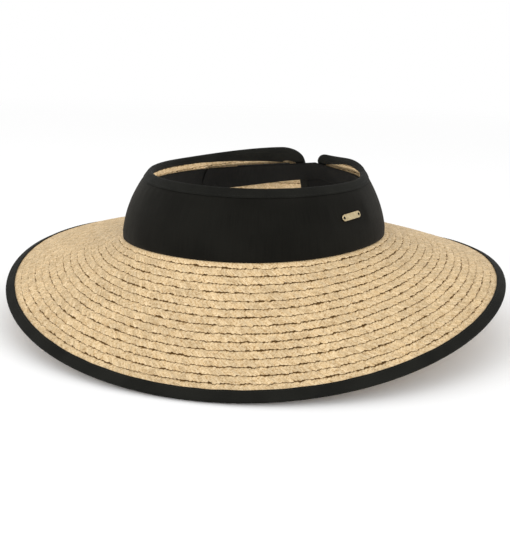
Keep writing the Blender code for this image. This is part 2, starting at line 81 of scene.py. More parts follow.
# Swells: size, angle of the middle, and the power that narrows it.
SHOULDER = (0.0039, 125.0, 6)
RIGHT_DIP = (0.0045, -72.0, 6)
LEFT_RISE = (0.0022, 92.0, 8)
BRIM_WIDTH = 0.0910
BRIM_SLOPE = 26.7
BRIM_DROOP = 11.1
BRIM_SADDLE = 8.1
BRIM_TWIST = 0.7
BRIM_TRIPLE = -0.6
BRIM_DROOP_ANGLE = 19.4
BRIM_CURL = 5.8
BRIM_SADDLE_CURL = 4.7
GAP_ANGLE = 5.0
LEFT_WING_CORNER = 0.010
RIGHT_WING_CORNER = 0.016
BRIM_CORNER = 0.020

GAP = 0.0003
STRAW = 0.0017
HEADBAND = 0.0010
SWEATBAND = 0.0012
TAPE = 0.0008
HOOK_AND_LOOP = 0.0007
STRAP = 0.0012
UNDERLAP = 0.0006
STRAW_LAYER = -HEADBAND - GAP - STRAW / 2
LINING_FACE = -HEADBAND - GAP - STRAW - GAP
SWEATBAND_LAYER = LINING_FACE - SWEATBAND / 2
BINDING_IN_LAYER = LINING_FACE - TAPE / 2
LOOP_LAYER = LINING_FACE - HOOK_AND_LOOP / 2
HOOK_LAYER = LOOP_LAYER - HOOK_AND_LOOP - GAP
STRAP_LAYER = HOOK_LAYER - HOOK_AND_LOOP / 2 - GAP - STRAP / 2
UNDERLAP_LAYER = LINING_FACE - TAPE - GAP - UNDERLAP / 2

CROWN_ROWS = 9
BRIM_ROWS = 17
FIRST_ROW_END = 0.0023
BINDING_LEG = 0.0072
ROW_PITCH = (BRIM_WIDTH - BINDING_LEG - FIRST_ROW_END) / (BRIM_ROWS - 2)
WALL_FOOT = 0.0004
EDGE_INSET = 0.0017
WIRE_INSET = 0.0036
WIRE_DEPTH = 0.0019
WIRE_RADIUS = 0.00075
WIRE_END_ANGLE = 156.0
CROWN_BINDING_OUT = 0.0073
CROWN_BINDING_IN_EDGE = 0.044
CROWN_BINDING_SIDE = 0.007
CROWN_BINDING_IN = 0.0032
LEFT_LEG_GROWTH = 0.0044
LEFT_LEG_SPAN = (150.0, 168.0)
SWEATBAND_TOP = 0.036
SWEATBAND_END = 130.5

STRAP_HINGE_ANGLE = 175.0
STRAP_HALF_WIDTH = 0.0105
STRAP_START_CLIMB = 0.0385
STRAP_END_CLIMB = 0.0279
STRAP_END_ANGLE = 247.0
STRAP_END_ROUNDING = 7.5
STRAP_TAPER = 0.0033
STRAP_TAPER_SPAN = (229.0, 190.0)
ROOT_START_ANGLE = 126.0
ROOT_START_CLIMB = 0.0343
ROOT_RISE_POWER = 5
TAPE_SPAN = (195.0, 227.0)
TAPE_SIDE_INSET = 0.001
UNDERLAP_SPAN = (160.0, 184.3)
UNDERLAP_CLIMBS = (0.002, 0.030)

PLATE_ANGLE = 79.8
PLATE_CLIMB = 0.0234
PLATE_LENGTH = 0.0193
PLATE_HEIGHT = 0.0045
PLATE_THICKNESS = 0.0008
PLATE_TILT = 2.6
PLATE_STAND_OFF = 0.00035
PLATE_MIDDLE_LAYER = PLATE_STAND_OFF + PLATE_THICKNESS / 2
PLATE_HOLE_RADIUS = 0.0010
PLATE_HOLE_INSET = 0.0019
PLATE_RIM_RISE = 0.00014
PLATE_FACE_STEP = 0.0012

# --- sizes of the detail ---
STRAND_PITCH = 0.0023  # along a plait, from one strand to the next
STRAND_COLUMNS = 4
STRAND_GROOVE = 0.00016
STRAND_SLANT = 0.0030  # how far a strand runs on from the middle of the plait to its edge
ROW_LAP = 0.00085  # each side of a row laps its neighbour by this much
PLAIT_THICKNESS = 0.00095
PLAIT_TILT = 0.00048  # a row's outer edge rides up on the next row
PLAIT_ARCH = 1.4  # its curved top is this much longer than it is wide
PLAIT_END_FADE = 0.009  # strands stand square to the row this near to its ends
STRAND_SCALLOP = 0.00022  # how far strands stick out at the sides, and how unevenly
STRAND_LOOSENESS = 0.00020
STRAND_BULGE = 0.00004
ROW_STRAY = 0.00046
ROW_SWELL = 0.00008
FIRST_ROW_START = -0.0026
CROWN_TAPE = 0.0005  # the crown binding is pressed thin
CROWN_TAPE_LAYER = 0.0003
BAND_FULLNESS = 0.00042  # the band stands out to the binding's face below its seam
BAND_BELLY = 0.00030  # and a little more halfway up its open part
BAND_OPEN_SHARE = 0.84
PRESSED_LENGTH = (0.022, 0.0125)  # the plate presses the band flat this far from its middle
PRESSED_HEIGHT = (0.011, 0.0035)
EDGE_SAG = (0.0017, -100.0, 16)  # a swell downwards of the brim's edge
EDGE_SAG_REACH_POWER = 12  # and how fast it fades inwards
CALM_ROWS = 0.58  # the painted shade of the lines between rows is this strong away from the bold ones
BOLD_ROWS = (1.0, 30.0, 2)
BRIM_TAPE = 0.0005  # the brim binding's upper leg is pressed thin too
BRIM_TAPE_LAYER = 0.0005
CROWN_TAPE_BEND = 0.0014  # depth at which a binding starts to turn over the edge
BRIM_TAPE_BEND = 0.0013
CROWN_TAPE_NOSE = 0.00045  # depth of the fold's middle line
TAPE_FULLNESS = 0.00008  # a tape's faces rise this much past the fold
LEG_WAVE_LENGTHS = (0.012, 0.014)
LEG_WAVE = 0.00012
CORNER_LEG_POWER = 0.5  # the inner leg widens this fast up a wing's corner
STITCH_SPACING = 0.0030
CROWN_STITCH = (STITCH_SPACING, 0.0022, 0.00012)  # spacing, length, thread's radius
BRIM_STITCH = (STITCH_SPACING, 0.0024, 0.00015)
CROWN_STITCH_INSET = 0.0010
BRIM_STITCH_INSET = 0.0011
THREAD_RADIUS = 0.00012
# Unevenness of cloth: wavelength, height, seed.
BAND_SOFT = (0.055, 0.00022, 11)
BAND_PUCKER = (0.0075, 0.00016, 12)
BAND_FOOT = (0.011, 0.00010, 13)
LINING_SOFT = (0.030, 0.00025, 21)
LINING_PLUMP = 0.0009
HINGE_SOFTNESS = 3.0  # degrees; the strap's line turns over this much
BEND_BEFORE = 1.6  # degrees round the hinge, before and after it; the strap's points there are computed but not used
BEND_AFTER = 2.4
STRAP_TOP_ROUNDING = 1.6  # degrees taken off the upper corner of the strap's free end

SLIT_EDGE = 180.0 - GAP_ANGLE
END_WARP_START = 150.0  # past this, lines stretch or shrink to their own ends


# --- the crown wall and the brim as surfaces ---
def ease(low, high, value):
    share = np.clip((value - low) / (high - low), 0, 1)
    return share * share * (3 - 2 * share)


def sine(angle):
    return np.sin(np.radians(angle))


def cosine(angle):
    return np.cos(np.radians(angle))


def unit(vectors):
    return vectors / np.linalg.norm(vectors, axis=-1, keepdims=True)


def oval(angle):
    """Points of the head oval and its outward normals, in plan."""
    s, c = sine(angle), cosine(angle)
    point = np.stack([HEAD_HALF_WIDTH * s, -HEAD_HALF_LENGTH * c, 0 * s], -1)
    normal = np.stack([s / HEAD_HALF_WIDTH, -c / HEAD_HALF_LENGTH, 0 * s], -1)
    return point, unit(normal)


def arc_per_degree(angle, outward):
    plain = np.hypot(HEAD_HALF_WIDTH * cosine(angle), HEAD_HALF_LENGTH * sine(angle))
    return (plain + outward) * np.pi / 180


def swell(angle, size, middle, power):
    """A rise to its size at its middle, which fades to 0 half a turn away."""
    return size * ((1 + cosine(angle - middle)) / 2) ** power


def foot_dip(angle):
    """How far the wall's foot lies below the origin's plane."""
    return FOOT_DIP + swell(angle, *RIGHT_DIP) - swell(angle, *LEFT_RISE)


def wall_lean(climb):
    tilt = WALL_START_LEAN + climb / WALL_RADIUS
    return WALL_RADIUS * (np.cos(WALL_START_LEAN) - np.cos(tilt))


def wall(angle, climb, outward):
    """Points of the crown wall."""
    angle, climb, outward = np.broadcast_arrays(angle, climb, outward)
    point, normal = oval(angle)
    tilt = WALL_START_LEAN + climb / WALL_RADIUS
    shoulder = swell(angle, *SHOULDER) * (climb / SHOULDER_CLIMB) ** 3
    across = outward * np.cos(tilt) - wall_lean(climb) + shoulder
    result = point + normal * across[..., None]
    rise = WALL_RADIUS * (np.sin(tilt) - np.sin(WALL_START_LEAN)) + outward * np.sin(tilt)
    result[..., 2] += rise - foot_dip(angle) * np.maximum(0, 1 - climb / DIP_CLIMB)
    return result


def wall_top(angle):
    back = np.maximum(0, -cosine(angle))
    top = WALL_FRONT + (WALL_BACK - WALL_FRONT) * back ** 2
    side = (angle + 180) % 360 - 180
    return top - LEFT_WING_DROP * ease(*LEFT_WING_DROP_SPAN, side)


def brim_slope(angle, reach):
    turn = np.radians(angle - BRIM_DROOP_ANGLE)
    slope = BRIM_SLOPE + BRIM_DROOP * np.cos(turn) + BRIM_SADDLE * np.cos(2 * turn)
    slope = slope + BRIM_TWIST * np.sin(2 * turn) + BRIM_TRIPLE * np.cos(3 * turn)
    curl = BRIM_CURL * np.cos(turn) + BRIM_SADDLE_CURL * np.cos(2 * turn)
    return np.radians(slope + curl * (1 - 2 * reach / BRIM_WIDTH))


def brim_profile(angle, reach):
    """Distance out and down after going out along the straw."""
    steps = 12
    angle, reach = np.broadcast_arrays(angle, reach)
    out = np.zeros(angle.shape)
    down = np.zeros(angle.shape)
    for step in range(steps):
        slope = brim_slope(angle, reach * (step + 0.5) / steps)
        out += reach / steps * np.cos(slope)
        down += reach / steps * np.sin(slope)
    return out, down


def brim(angle, reach, lift):
    """Points of the brim."""
    angle, reach, lift = np.broadcast_arrays(angle, reach, lift)
    point, normal = oval(angle)
    out, down = brim_profile(angle, reach)
    slope = brim_slope(angle, reach)
    result = point + normal * (out + lift * np.sin(slope))[..., None]
    down = down + foot_dip(angle) * (1 - reach / BRIM_WIDTH)
    sag = swell(angle, *EDGE_SAG) * (reach / BRIM_WIDTH) ** EDGE_SAG_REACH_POWER
    result[..., 2] += lift * np.cos(slope) - down - sag
    return result


# --- where the pieces end at the slit ---
def corner_setback(distance_in, radius, inset):
    """How far a round corner holds a line back from the slit's edge."""
    rise = np.maximum(radius - distance_in, 0)
    chord = np.sqrt(np.maximum(0, (radius - inset) ** 2 - rise ** 2))
    return np.where(distance_in >= radius, inset, radius - chord)


def wing_corner(side):
    return LEFT_WING_CORNER if side > 0 else RIGHT_WING_CORNER


def climb_at(angle, share):
    return WALL_FOOT + (wall_top(angle) - EDGE_INSET - WALL_FOOT) * share


def wing_end(side, share):
    """Angle at which a line of the wall ends."""
    climb = climb_at(side * SLIT_EDGE, share)
    below_top = wall_top(side * SLIT_EDGE) - climb
    setback = corner_setback(below_top, wing_corner(side), EDGE_INSET)
    return side * (SLIT_EDGE - setback / arc_per_degree(SLIT_EDGE, -wall_lean(climb)))


def brim_end(side, reach):
    """Angle at which a line of the brim ends."""
    setback = corner_setback(BRIM_WIDTH - reach, BRIM_CORNER, EDGE_INSET)
    out, _ = brim_profile(side * SLIT_EDGE, reach)
    return side * (SLIT_EDGE - setback / arc_per_degree(SLIT_EDGE, out))


def fit_ends(angle, low_end, high_end):
    """Moves angles near the slit so that a line runs between its own ends."""
    past = np.maximum(np.abs(angle) - END_WARP_START, 0)
    end = np.where(angle > 0, high_end, -low_end)
    stretch = (end - SLIT_EDGE) / (SLIT_EDGE - END_WARP_START)
    return angle + np.sign(angle) * past * stretch


def on_wall(angle, share, outward):
    """Points of the wall from wing to wing, by share of its height."""
    angle = fit_ends(angle, wing_end(-1, share), wing_end(1, share))
    return wall(angle, climb_at(angle, share), outward)


def on_brim(angle, reach, lift):
    """Points of the brim from one side of the slit to the other."""
    angle = fit_ends(angle, brim_end(-1, reach), brim_end(1, reach))
    return brim(angle, reach, lift)


# --- meshes ---
def ripple(u, v, wavelength, height, seed):
    """Smooth seeded unevenness over a surface laid out in metres."""
    rng = np.random.default_rng(seed)
    waves = 7
    shortest, longest = 0.6, 1.7
    usual = 0.7
    total = 0
    for _ in range(waves):
        turn = rng.uniform(0, 2 * np.pi)
        length = wavelength * rng.uniform(shortest, longest)
        phase = rng.uniform(0, 2 * np.pi)
        total = total + np.sin((u * np.cos(turn) + v * np.sin(turn)) * 2 * np.pi / length + phase)
    return total / np.sqrt(waves) * usual * height


def length_along(points):
    """Distance along a line of points, from 0."""
    steps = np.linalg.norm(np.diff(points, axis=0), axis=1)
    return np.concatenate([[0], np.cumsum(steps)])


def signed_volume(points, quads):
    a, b, c, d = (points[quads[:, n]] for n in range(4))
    return np.sum(a * (np.cross(b, c) + np.cross(c, d)))


def new_object(name, data):
    item = bpy.data.objects.new(name, data)
    scene.collection.objects.link(item)
    return item


def make_mesh(name, points, quads, extra_faces, quad_uv, material):
    """A smooth mesh of quads plus flat end faces, its normals outwards."""
    if signed_volume(points, quads) < 0:
        quads = quads[:, ::-1]
        quad_uv = quad_uv[:, ::-1]
        extra_faces = [face[::-1] for face in extra_faces]
    mesh = bpy.data.meshes.new(name)
    mesh.from_pydata(points.tolist(), [], quads.tolist() + extra_faces)
    mesh.polygons.foreach_set("use_smooth", [True] * len(quads) + [False] * len(extra_faces))
    layer = mesh.uv_layers.new(name="cloth")
    values = np.zeros((len(mesh.loops), 2), np.float32)
    values[: quad_uv.shape[0] * 4] = quad_uv.reshape(-1, 2)
    layer.data.foreach_set("uv", values.ravel())
    mesh.materials.append(material)
    mesh.update()
    return new_object(name, mesh)


def faces_round(index):
    """Quads between rings of point numbers (..., stations, around), and the end faces."""
    after = np.roll(index, -1, axis=-1)
    corners = [index[..., :-1, :], after[..., :-1, :], after[..., 1:, :], index[..., 1:, :]]
    first, last = (index[..., n, :].reshape(-1, index.shape[-1]) for n in (0, -1))
    return np.stack(corners, -1).reshape(-1, 4), first[:, ::-1].tolist() + last.tolist()


def loft(name, rings, along, across, material):
    """A closed solid through rings of points; along and across lay it out flat, in metres."""
    stations, around, _ = rings.shape
    quads, ends = faces_round(np.arange(stations * around).reshape(stations, around))
    flat = [np.broadcast_to(values, (stations, around + 1)) for values in (along, across)]
    flat = np.stack(flat, -1)
    uv = np.stack([flat[:-1, :-1], flat[:-1, 1:], flat[1:, 1:], flat[1:, :-1]], -2)
    return make_mesh(name, rings.reshape(-1, 3), quads, ends, uv.reshape(-1, 4, 2), material)


def attach(item, body, slot, *nodes):
    """The piece rides on a body and stands for CAD nodes; the slot is not used."""
    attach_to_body(item, body)
    if nodes:
        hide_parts(*nodes)
    return item


def cloth_outline(line, thickness):
    """Closed outline with round ends round lines of cloth (stations, points, 2)."""
    half = thickness / 2
    tangent = unit(np.gradient(line, axis=1))
    normal = np.stack([-tangent[..., 1], tangent[..., 0]], -1)
    turns = np.array([45, 90, 135])[:, None]
    last = (cosine(turns) * normal[:, -1:] + sine(turns) * tangent[:, -1:]) * half
    first = (-cosine(turns) * normal[:, :1] - sine(turns) * tangent[:, :1]) * half
    over = line + normal * half
    under = (line - normal * half)[:, ::-1]
    return np.concatenate([over, line[:, -1:] + last, under, line[:, :1] + first], axis=1)


def outline_length(outline):
    """Distance round an outline, with the closing step at the end."""
    return length_along(np.concatenate([outline, outline[:1]]))


def strip_outline(across, angle, thickness):
    """Outline of a flat strip at each of its stations, from the line across it."""
    return cloth_outline(np.stack(np.broadcast_arrays(across, 0 * angle), -1), thickness)


# --- material nodes ---
class Nodes:
    """Short names for building one material's node tree."""

    def __init__(self, name):
        self.material = bpy.data.materials.new(name)
        self.material.use_nodes = True
        self.tree = self.material.node_tree
        self.shader = self.tree.nodes["Principled BSDF"]

    def add(self, kind, inputs=(), **settings):
        """A new node, with values or links for its inputs by name."""
        node = self.tree.nodes.new(kind)
        for key, value in settings.items():
            setattr(node, key, value)
        for key, value in dict(inputs).items():
            self.put(node.inputs[key], value)
        return node

    def link(self, source, target):
        self.tree.links.new(source, target)

    def put(self, socket, value):
        if isinstance(value, (int, float, tuple)):
            socket.default_value = value
        else:
            self.link(value, socket)

    def put_all(self, node, values):
        for socket, value in zip(node.inputs, values):
            self.put(socket, value)
        return node.outputs[0]

    def set(self, **values):
        """Inputs of the shader; spaces in their names are written as underlines."""
        for key, value in values.items():
            self.put(self.shader.inputs[key.replace("_", " ")], value)

    def maths(self, operation, a, b):
        return self.put_all(self.add("ShaderNodeMath", operation=operation), (a, b))

    def plus(self, a, b, share):
        return self.maths("ADD", a, self.maths("MULTIPLY", b, share))

    def uv(self, scale_u, scale_v, turn=0.0, order="POINT"):
        """The piece laid out flat, in metres.  The order TEXTURE turns it before it is scaled."""
        flat = self.add("ShaderNodeUVMap", uv_map="cloth").outputs["UV"]
        values = {"Vector": flat, "Rotation": (0, 0, math.radians(turn))}
        values["Scale"] = (scale_u, scale_v, 1)
        return self.add("ShaderNodeMapping", values, vector_type=order).outputs["Vector"]

    def place(self):
        return self.add("ShaderNodeTexCoord").outputs["Object"]

    def noise(self, vector, scale=1.0, detail=2.0, roughness=0.5):
        values = {"Vector": vector, "Scale": scale, "Detail": detail, "Roughness": roughness}
        return self.add("ShaderNodeTexNoise", values).outputs["Fac"]

    def wave(self, vector, scale, direction):
        values = {"Vector": vector, "Scale": scale}
        return self.add("ShaderNodeTexWave", values, bands_direction=direction).outputs["Fac"]

    def attribute(self, name):
        return self.add("ShaderNodeAttribute", attribute_name=name).outputs["Fac"]

    def spread(self, value, low=0.3, high=0.7, to_low=0.0, to_high=1.0):
        """Smooth step from one value to another between a low and a high input."""
        node = self.add("ShaderNodeMapRange", interpolation_type="SMOOTHSTEP")
        return self.put_all(node, (value, low, high, to_low, to_high))

    def mix(self, factor, a, b):
        node = self.add("ShaderNodeMix", data_type="RGBA")
        sockets = {item.identifier: item for item in node.inputs}
        for name, value in (("Factor_Float", factor), ("A_Color", a), ("B_Color", b)):
            self.put(sockets[name], value)
        return next(item for item in node.outputs if item.identifier == "Result_Color")

    def bump(self, height, distance, strength):
        values = {"Height": height, "Distance": distance, "Strength": strength}
        self.set(Normal=self.add("ShaderNodeBump", values).outputs["Normal"])

    def finish(self, shade, colours, gloss, roughness, bump=None, low=0.3, **values):
        """Colour from one noise, roughness from another and a bump; returns the material."""
        values["Base_Color"] = self.mix(self.spread(shade, low), *colours)
        values["Roughness"] = self.spread(gloss, 0.3, 0.7, *roughness)
        self.set(**values)
        if bump:
            self.bump(*bump)
        return self.material


# Colours are linear.
STRAW_DEEP = (0.535, 0.365, 0.178, 1)
STRAW_LIGHT = (0.700, 0.525, 0.298, 1)
STRAW_STREAK = (0.765, 0.600, 0.375, 1)
# Painted highlight: pale specks of glint on the straw.
STRAW_GLINT_HIGHLIGHT = (0.80, 0.65, 0.42, 1)
STRAW_FLECK = (0.38, 0.225, 0.085, 1)
STRAW_TICK = (0.33, 0.19, 0.07, 1)
# Painted shade: the dark brown put into the crevices where rows lap and strands tuck.
STRAW_CREASE_SHADE = (0.105, 0.052, 0.013, 1)
TICK_SLANTS = (38.0, -38.0)
TICK_SIZE = (1 / 330, 1 / 1700)  # metres, along and across its slant
METAL_SHADES = ((0.49, 0.395, 0.230, 1), (0.62, 0.51, 0.31, 1))
BONING_SHADES = ((0.70, 0.70, 0.66, 1), (0.80, 0.80, 0.77, 1))
BAND_BLACK = (0.0052, 0.0050, 0.0038)
LINING_BLACK = (0.0085, 0.0083, 0.0076)
TAPE_BLACK = (0.0080, 0.0080, 0.0064)
THREAD_BLACK = (0.016, 0.016, 0.014)
HOOK_BLACK = (0.010, 0.010, 0.010)
LOOP_BLACK = (0.009, 0.009, 0.009)


def straw_material():
    """Raffia: pale fibrous ribbons, with painted shade in the tucks and where one row laps the next,
    and pale specks of painted glint.
    """
    n = Nodes("straw_plait")
    place = n.place()
    fibre = n.noise(n.uv(2600, 240), 1.0, 3.0, 0.6)
    ticks = [n.noise(n.uv(*TICK_SIZE, turn, "TEXTURE"), 1.0, 1.0) for turn in TICK_SLANTS]
    base = STRAW_DEEP
    for noise, low, high, strength, colour in (
        (fibre, 0.3, 0.7, 1.0, STRAW_LIGHT),
        (n.noise(n.uv(700, 90)), 0.35, 0.75, 1.0, STRAW_STREAK),
        (n.noise(place, 800.0, 2.0, 0.6), 0.54, 0.67, 0.82, STRAW_FLECK),
        # Pale specks of painted glint.
        (n.noise(place, 1150.0, 1.0), 0.58, 0.72, 0.5, STRAW_GLINT_HIGHLIGHT),
        (ticks[0], 0.60, 0.70, 0.62, STRAW_TICK),
        (ticks[1], 0.60, 0.70, 0.62, STRAW_TICK),
    ):
        base = n.mix(n.spread(noise, low, high, 0.0, strength), base, colour)
    tint = n.spread(n.attribute("tint"), 0.0, 1.0, 0.86, 1.06)
    mottle = n.spread(n.noise(place, 38.0), 0.3, 0.7, 0.95, 1.04)
    toned = n.add("ShaderNodeVectorMath", operation="SCALE")
    n.link(base, toned.inputs[0])
    n.link(n.maths("MULTIPLY", tint, mottle), toned.inputs["Scale"])
    # Painted shade in the crevices and tucks, with ragged edges; the specular is taken out there
    # too.
    ragged_shade = n.plus(n.attribute("crease_shade"), n.noise(place, 280.0), 1.1)
    ragged_shade = n.plus(ragged_shade, n.noise(place, 75.0, 1.0), 0.6)
    n.set(
        Base_Color=n.mix(n.spread(ragged_shade, 1.18, 1.72, 0.0, 0.96), toned.outputs[0], STRAW_CREASE_SHADE),
        Roughness=n.spread(fibre, 0.3, 0.7, 0.72, 0.52),
        Specular_IOR_Level=n.spread(ragged_shade, 1.1, 1.6, 0.35, 0.0),
    )
    n.bump(fibre, 0.00012, 0.8)
    return n.material


def shades(tone, dark, light):
    """A darker and a lighter shade of a tone."""
    return [tuple(share * value for value in tone) + (1,) for share in (dark, light)]


def cotton_material(name, tone, pitch, sheen, turn=0.0):
    """Black cotton: a fine weave, a little uneven in tone and in gloss."""
    n = Nodes(name)
    warp, weft = (n.wave(n.uv(1, 1, turn), 1 / pitch / math.pi, way) for way in "XY")
    slub = n.noise(n.uv(2200, 60))
    shade = n.plus(n.maths("MULTIPLY", n.noise(n.place(), 30.0), 0.6), slub, 0.4)
    height = n.plus(n.plus(n.maths("MULTIPLY", warp, 0.5), weft, 0.5), slub, 0.5)
    return n.finish(
        shade, shades(tone, 0.75, 1.35), shade, (0.92, 0.78), (height, 0.00006, 0.6),
        Specular_IOR_Level=0.08, Sheen_Weight=sheen, Sheen_Roughness=0.45,
        Sheen_Tint=(0.95, 0.90, 0.80, 1),
    )


def ribbed_material(name, tone, pitch, sheen):
    """Black binding tape with fine cross ribs."""
    n = Nodes(name)
    grain = n.noise(n.uv(1500, 900))
    height = n.plus(n.wave(n.uv(1, 1), 1 / pitch / math.pi, "X"), grain, 0.6)
    return n.finish(
        n.noise(n.place(), 45.0), shades(tone, 0.8, 1.3), grain, (0.85, 0.68),
        (height, 0.00005, 0.6), Specular_IOR_Level=0.09, Sheen_Weight=sheen, Sheen_Roughness=0.4,
        Sheen_Tint=(0.92, 0.92, 0.86, 1),
    )


def fuzzy_material(name, tone, scale, roughness):
    """The two faces of a hook-and-loop closure."""
    n = Nodes(name)
    hair = n.noise(n.place(), scale, 3.0, 0.7)
    return n.finish(
        hair, shades(tone, 1.0, 2.2), hair, (roughness, roughness - 0.15), (hair, 0.0003, 0.9),
        low=0.35, Sheen_Weight=0.1, Sheen_Roughness=0.5,
    )


def metal_material():
    n = Nodes("pale_gold_metal")
    brushed = n.noise(n.uv(300, 9000))
    return n.finish(
        n.noise(n.place(), 420.0), METAL_SHADES, brushed, (0.24, 0.38), (brushed, 0.00001, 0.5),
        low=0.35, Metallic=1.0,
    )


def boning_material():
    n = Nodes("clear_boning_plastic")
    cloud = n.noise(n.place(), 200.0)
    return n.finish(cloud, BONING_SHADES, cloud, (0.25, 0.4))


# --- straw plait ---
# The outline of a plait: how far across (-1 to 1), and how high in half thicknesses.
TOP_ACROSS = np.array([-1.0, -0.82, -0.62, -0.32, 0.0, 0.34, 0.66, 0.88, 1.0])
TOP_HEIGHT = np.array([0.0, 0.78, 1.0, 1.0, 0.82, 1.0, 1.0, 0.74, 0.0])
UNDER_ACROSS = np.array([0.85, 0.0, -0.85])
UNDER_HEIGHT = np.array([-0.85, -0.95, -0.85])
ACROSS = np.concatenate([TOP_ACROSS, UNDER_ACROSS])
HEIGHT = np.concatenate([TOP_HEIGHT, UNDER_HEIGHT])
SIDE = np.where(ACROSS > 0, 1, 0)
# How strongly the strands' relief shows, and how much painted shade the tucks and laps get, at each
# point of the outline.
RELIEF = np.array([0.0, 0.8, 1.0, 1.0, 0.28, 1.0, 1.0, 0.8, 0.0, -0.8, -0.24, -0.8])
TUCK_SHADE = np.array([1.0, 1.0, 1.0, 0.08, 0.0, 0.0, 0.0, 0.12, 1.0, 0.9, 0.3, 0.9])
GROOVE_SHADE = np.where(ACROSS == 0, 0.6, 1.0) * 0.34
# One strand from groove to groove: its height and how far it sticks out at the side.
STRAND_HEIGHT = np.array([-1.0, 0.55, 0.35, -0.1])
STRAND_EDGE = np.array([-1.0, 0.1, 0.7, 0.35])
STRAY_WAVES = ((0.090, 0.3), (0.041, 0.25), (0.019, 0.3), (0.0085, 0.4), (0.005, 0.35))


def wander(along, rng, size):
    """A hand-sewn row strays from side to side."""
    total = np.zeros_like(along)
    for length, share in STRAY_WAVES:
        phase = rng.uniform(0, 2 * np.pi)
        total += share * np.sin(2 * np.pi * along / (length * rng.uniform(0.8, 1.25)) + phase)
    return total * size


def add_plait(name, place, half_width, seed, material, painted_highlight=False):
    """One row of plait.  place(angle, across, lift) gives the row's points from metres across
    and metres up from its middle."""
    rng = np.random.default_rng(seed)
    sample = np.linspace(-SLIT_EDGE, SLIT_EDGE, 1401)
    distance = length_along(place(sample, 0.0, 0.0))
    whole = distance[-1]
    strands = int(round(whole / STRAND_PITCH))
    column = np.arange(strands * STRAND_COLUMNS + 1)[:, None]
    along = whole * column / (len(column) - 1)
    strand, phase = np.divmod(column + 2 * SIDE, STRAND_COLUMNS)
    bulge = rng.normal(0, 1, (2, strands + 2))
    reach = rng.normal(0, 1, (2, strands + 2))

    fade = np.minimum(ease(0, PLAIT_END_FADE, along), ease(0, PLAIT_END_FADE, whole - along))
    angle = np.interp(along + np.abs(ACROSS) * STRAND_SLANT * fade, distance, sample)
    scallop = STRAND_EDGE[phase] * STRAND_SCALLOP + reach[SIDE, strand] * STRAND_LOOSENESS
    across = ACROSS * half_width + ACROSS ** 3 * scallop + wander(along, rng, ROW_STRAY)
    relief = STRAND_HEIGHT[phase] * STRAND_GROOVE + bulge[SIDE, strand] * STRAND_BULGE
    lift = HEIGHT * PLAIT_THICKNESS / 2 + relief * RELIEF + ACROSS * PLAIT_TILT
    lift = lift + wander(along, rng, ROW_SWELL)

    flat_along = column / STRAND_COLUMNS * STRAND_PITCH
    flat_across = np.append(ACROSS, ACROSS[0]) * half_width * PLAIT_ARCH
    item = loft(name, place(angle, across, lift), flat_along, flat_across, material)
    paint_plait(item.data, column, phase, rng, painted_highlight)
    return item


def paint(mesh, name, domain, values):
    layer = mesh.attributes.new(name, "FLOAT", domain)
    layer.data.foreach_set("value", values.astype(np.float32))


def paint_plait(mesh, column, phase, rng, painted_highlight):
    """Attributes for the straw material: a tone for each strand, paler in a painted-highlight row,
    and the painted shade of the creases.
    """
    # The first row's strands are paler: a painted highlight where the row turns up against the band.
    tone = rng.uniform(0.75 if painted_highlight else 0, 1, (2, len(column) // STRAND_COLUMNS + 3))
    face_side = ((ACROSS + np.roll(ACROSS, -1)) > 0).astype(int)
    tint = tone[face_side, (column[:-1] + 2 * face_side) // STRAND_COLUMNS]
    paint(mesh, "tint", "FACE", np.append(tint.ravel(), [0.5, 0.5]))
    angle = np.linspace(-SLIT_EDGE, SLIT_EDGE, len(column))[:, None]
    # Painted shade of the creases, bold round the front and calmer at the sides.
    bold = CALM_ROWS + (1 - CALM_ROWS) * swell(angle, *BOLD_ROWS)
    crease_shade = (TUCK_SHADE + (phase == 0) * GROOVE_SHADE) * bold
    paint(mesh, "crease_shade", "POINT", np.clip(crease_shade, 0, 1).ravel())


def add_brim_plaits(material):
    outermost = BRIM_WIDTH - WIRE_INSET
    for row in range(1, BRIM_ROWS + 1):
        start = FIRST_ROW_END + (row - 2) * ROW_PITCH
        end = min(start + ROW_PITCH, outermost)
        if row == 1:
            start = FIRST_ROW_START

        def place(angle, across, lift, middle=(start + end) / 2, limit=row == BRIM_ROWS):
            reach = middle + across
            if limit:
                reach = np.minimum(reach, outermost)
            return on_brim(angle, reach, lift - STRAW / 2)

        name = f"straw_brim_row_{row:02d}"
        half_width = (end - start) / 2 + ROW_LAP
        # The first row is painted paler: a painted highlight where it turns up against the band.
        item = add_plait(name, place, half_width, 100 + row, material, painted_highlight=row == 1)
        attach(item, "visor", "straw", f"brim_plait_{row:02d}")


def add_crown_plaits(material):
    height = (WALL_FRONT - EDGE_INSET - WALL_FOOT) / CROWN_ROWS
    for row in range(CROWN_ROWS):

        def place(angle, across, lift, row=row):
            share = np.clip((row + 0.5 + across / height) / CROWN_ROWS, 0, 1)
            return on_wall(angle, share, STRAW_LAYER - lift)

        name = f"straw_crown_row_{row + 1:02d}"
        item = add_plait(name, place, height / 2 + ROW_LAP, 200 + row, material)
        attach(item, "visor", "straw", f"crown_plait_{row + 1:02d}")


# --- bands ---
STATION_STEP = 0.8  # degrees between the stations of cloth pieces
SHORT_STEP = 0.5
BAND_DRAWN = 0.045  # the band's outline is drawn this high, then fitted to the wall
BAND_LIP = 0.004


def stations(low, high, step=STATION_STEP):
    return np.linspace(low, high, int(round((high - low) / step)) + 1)


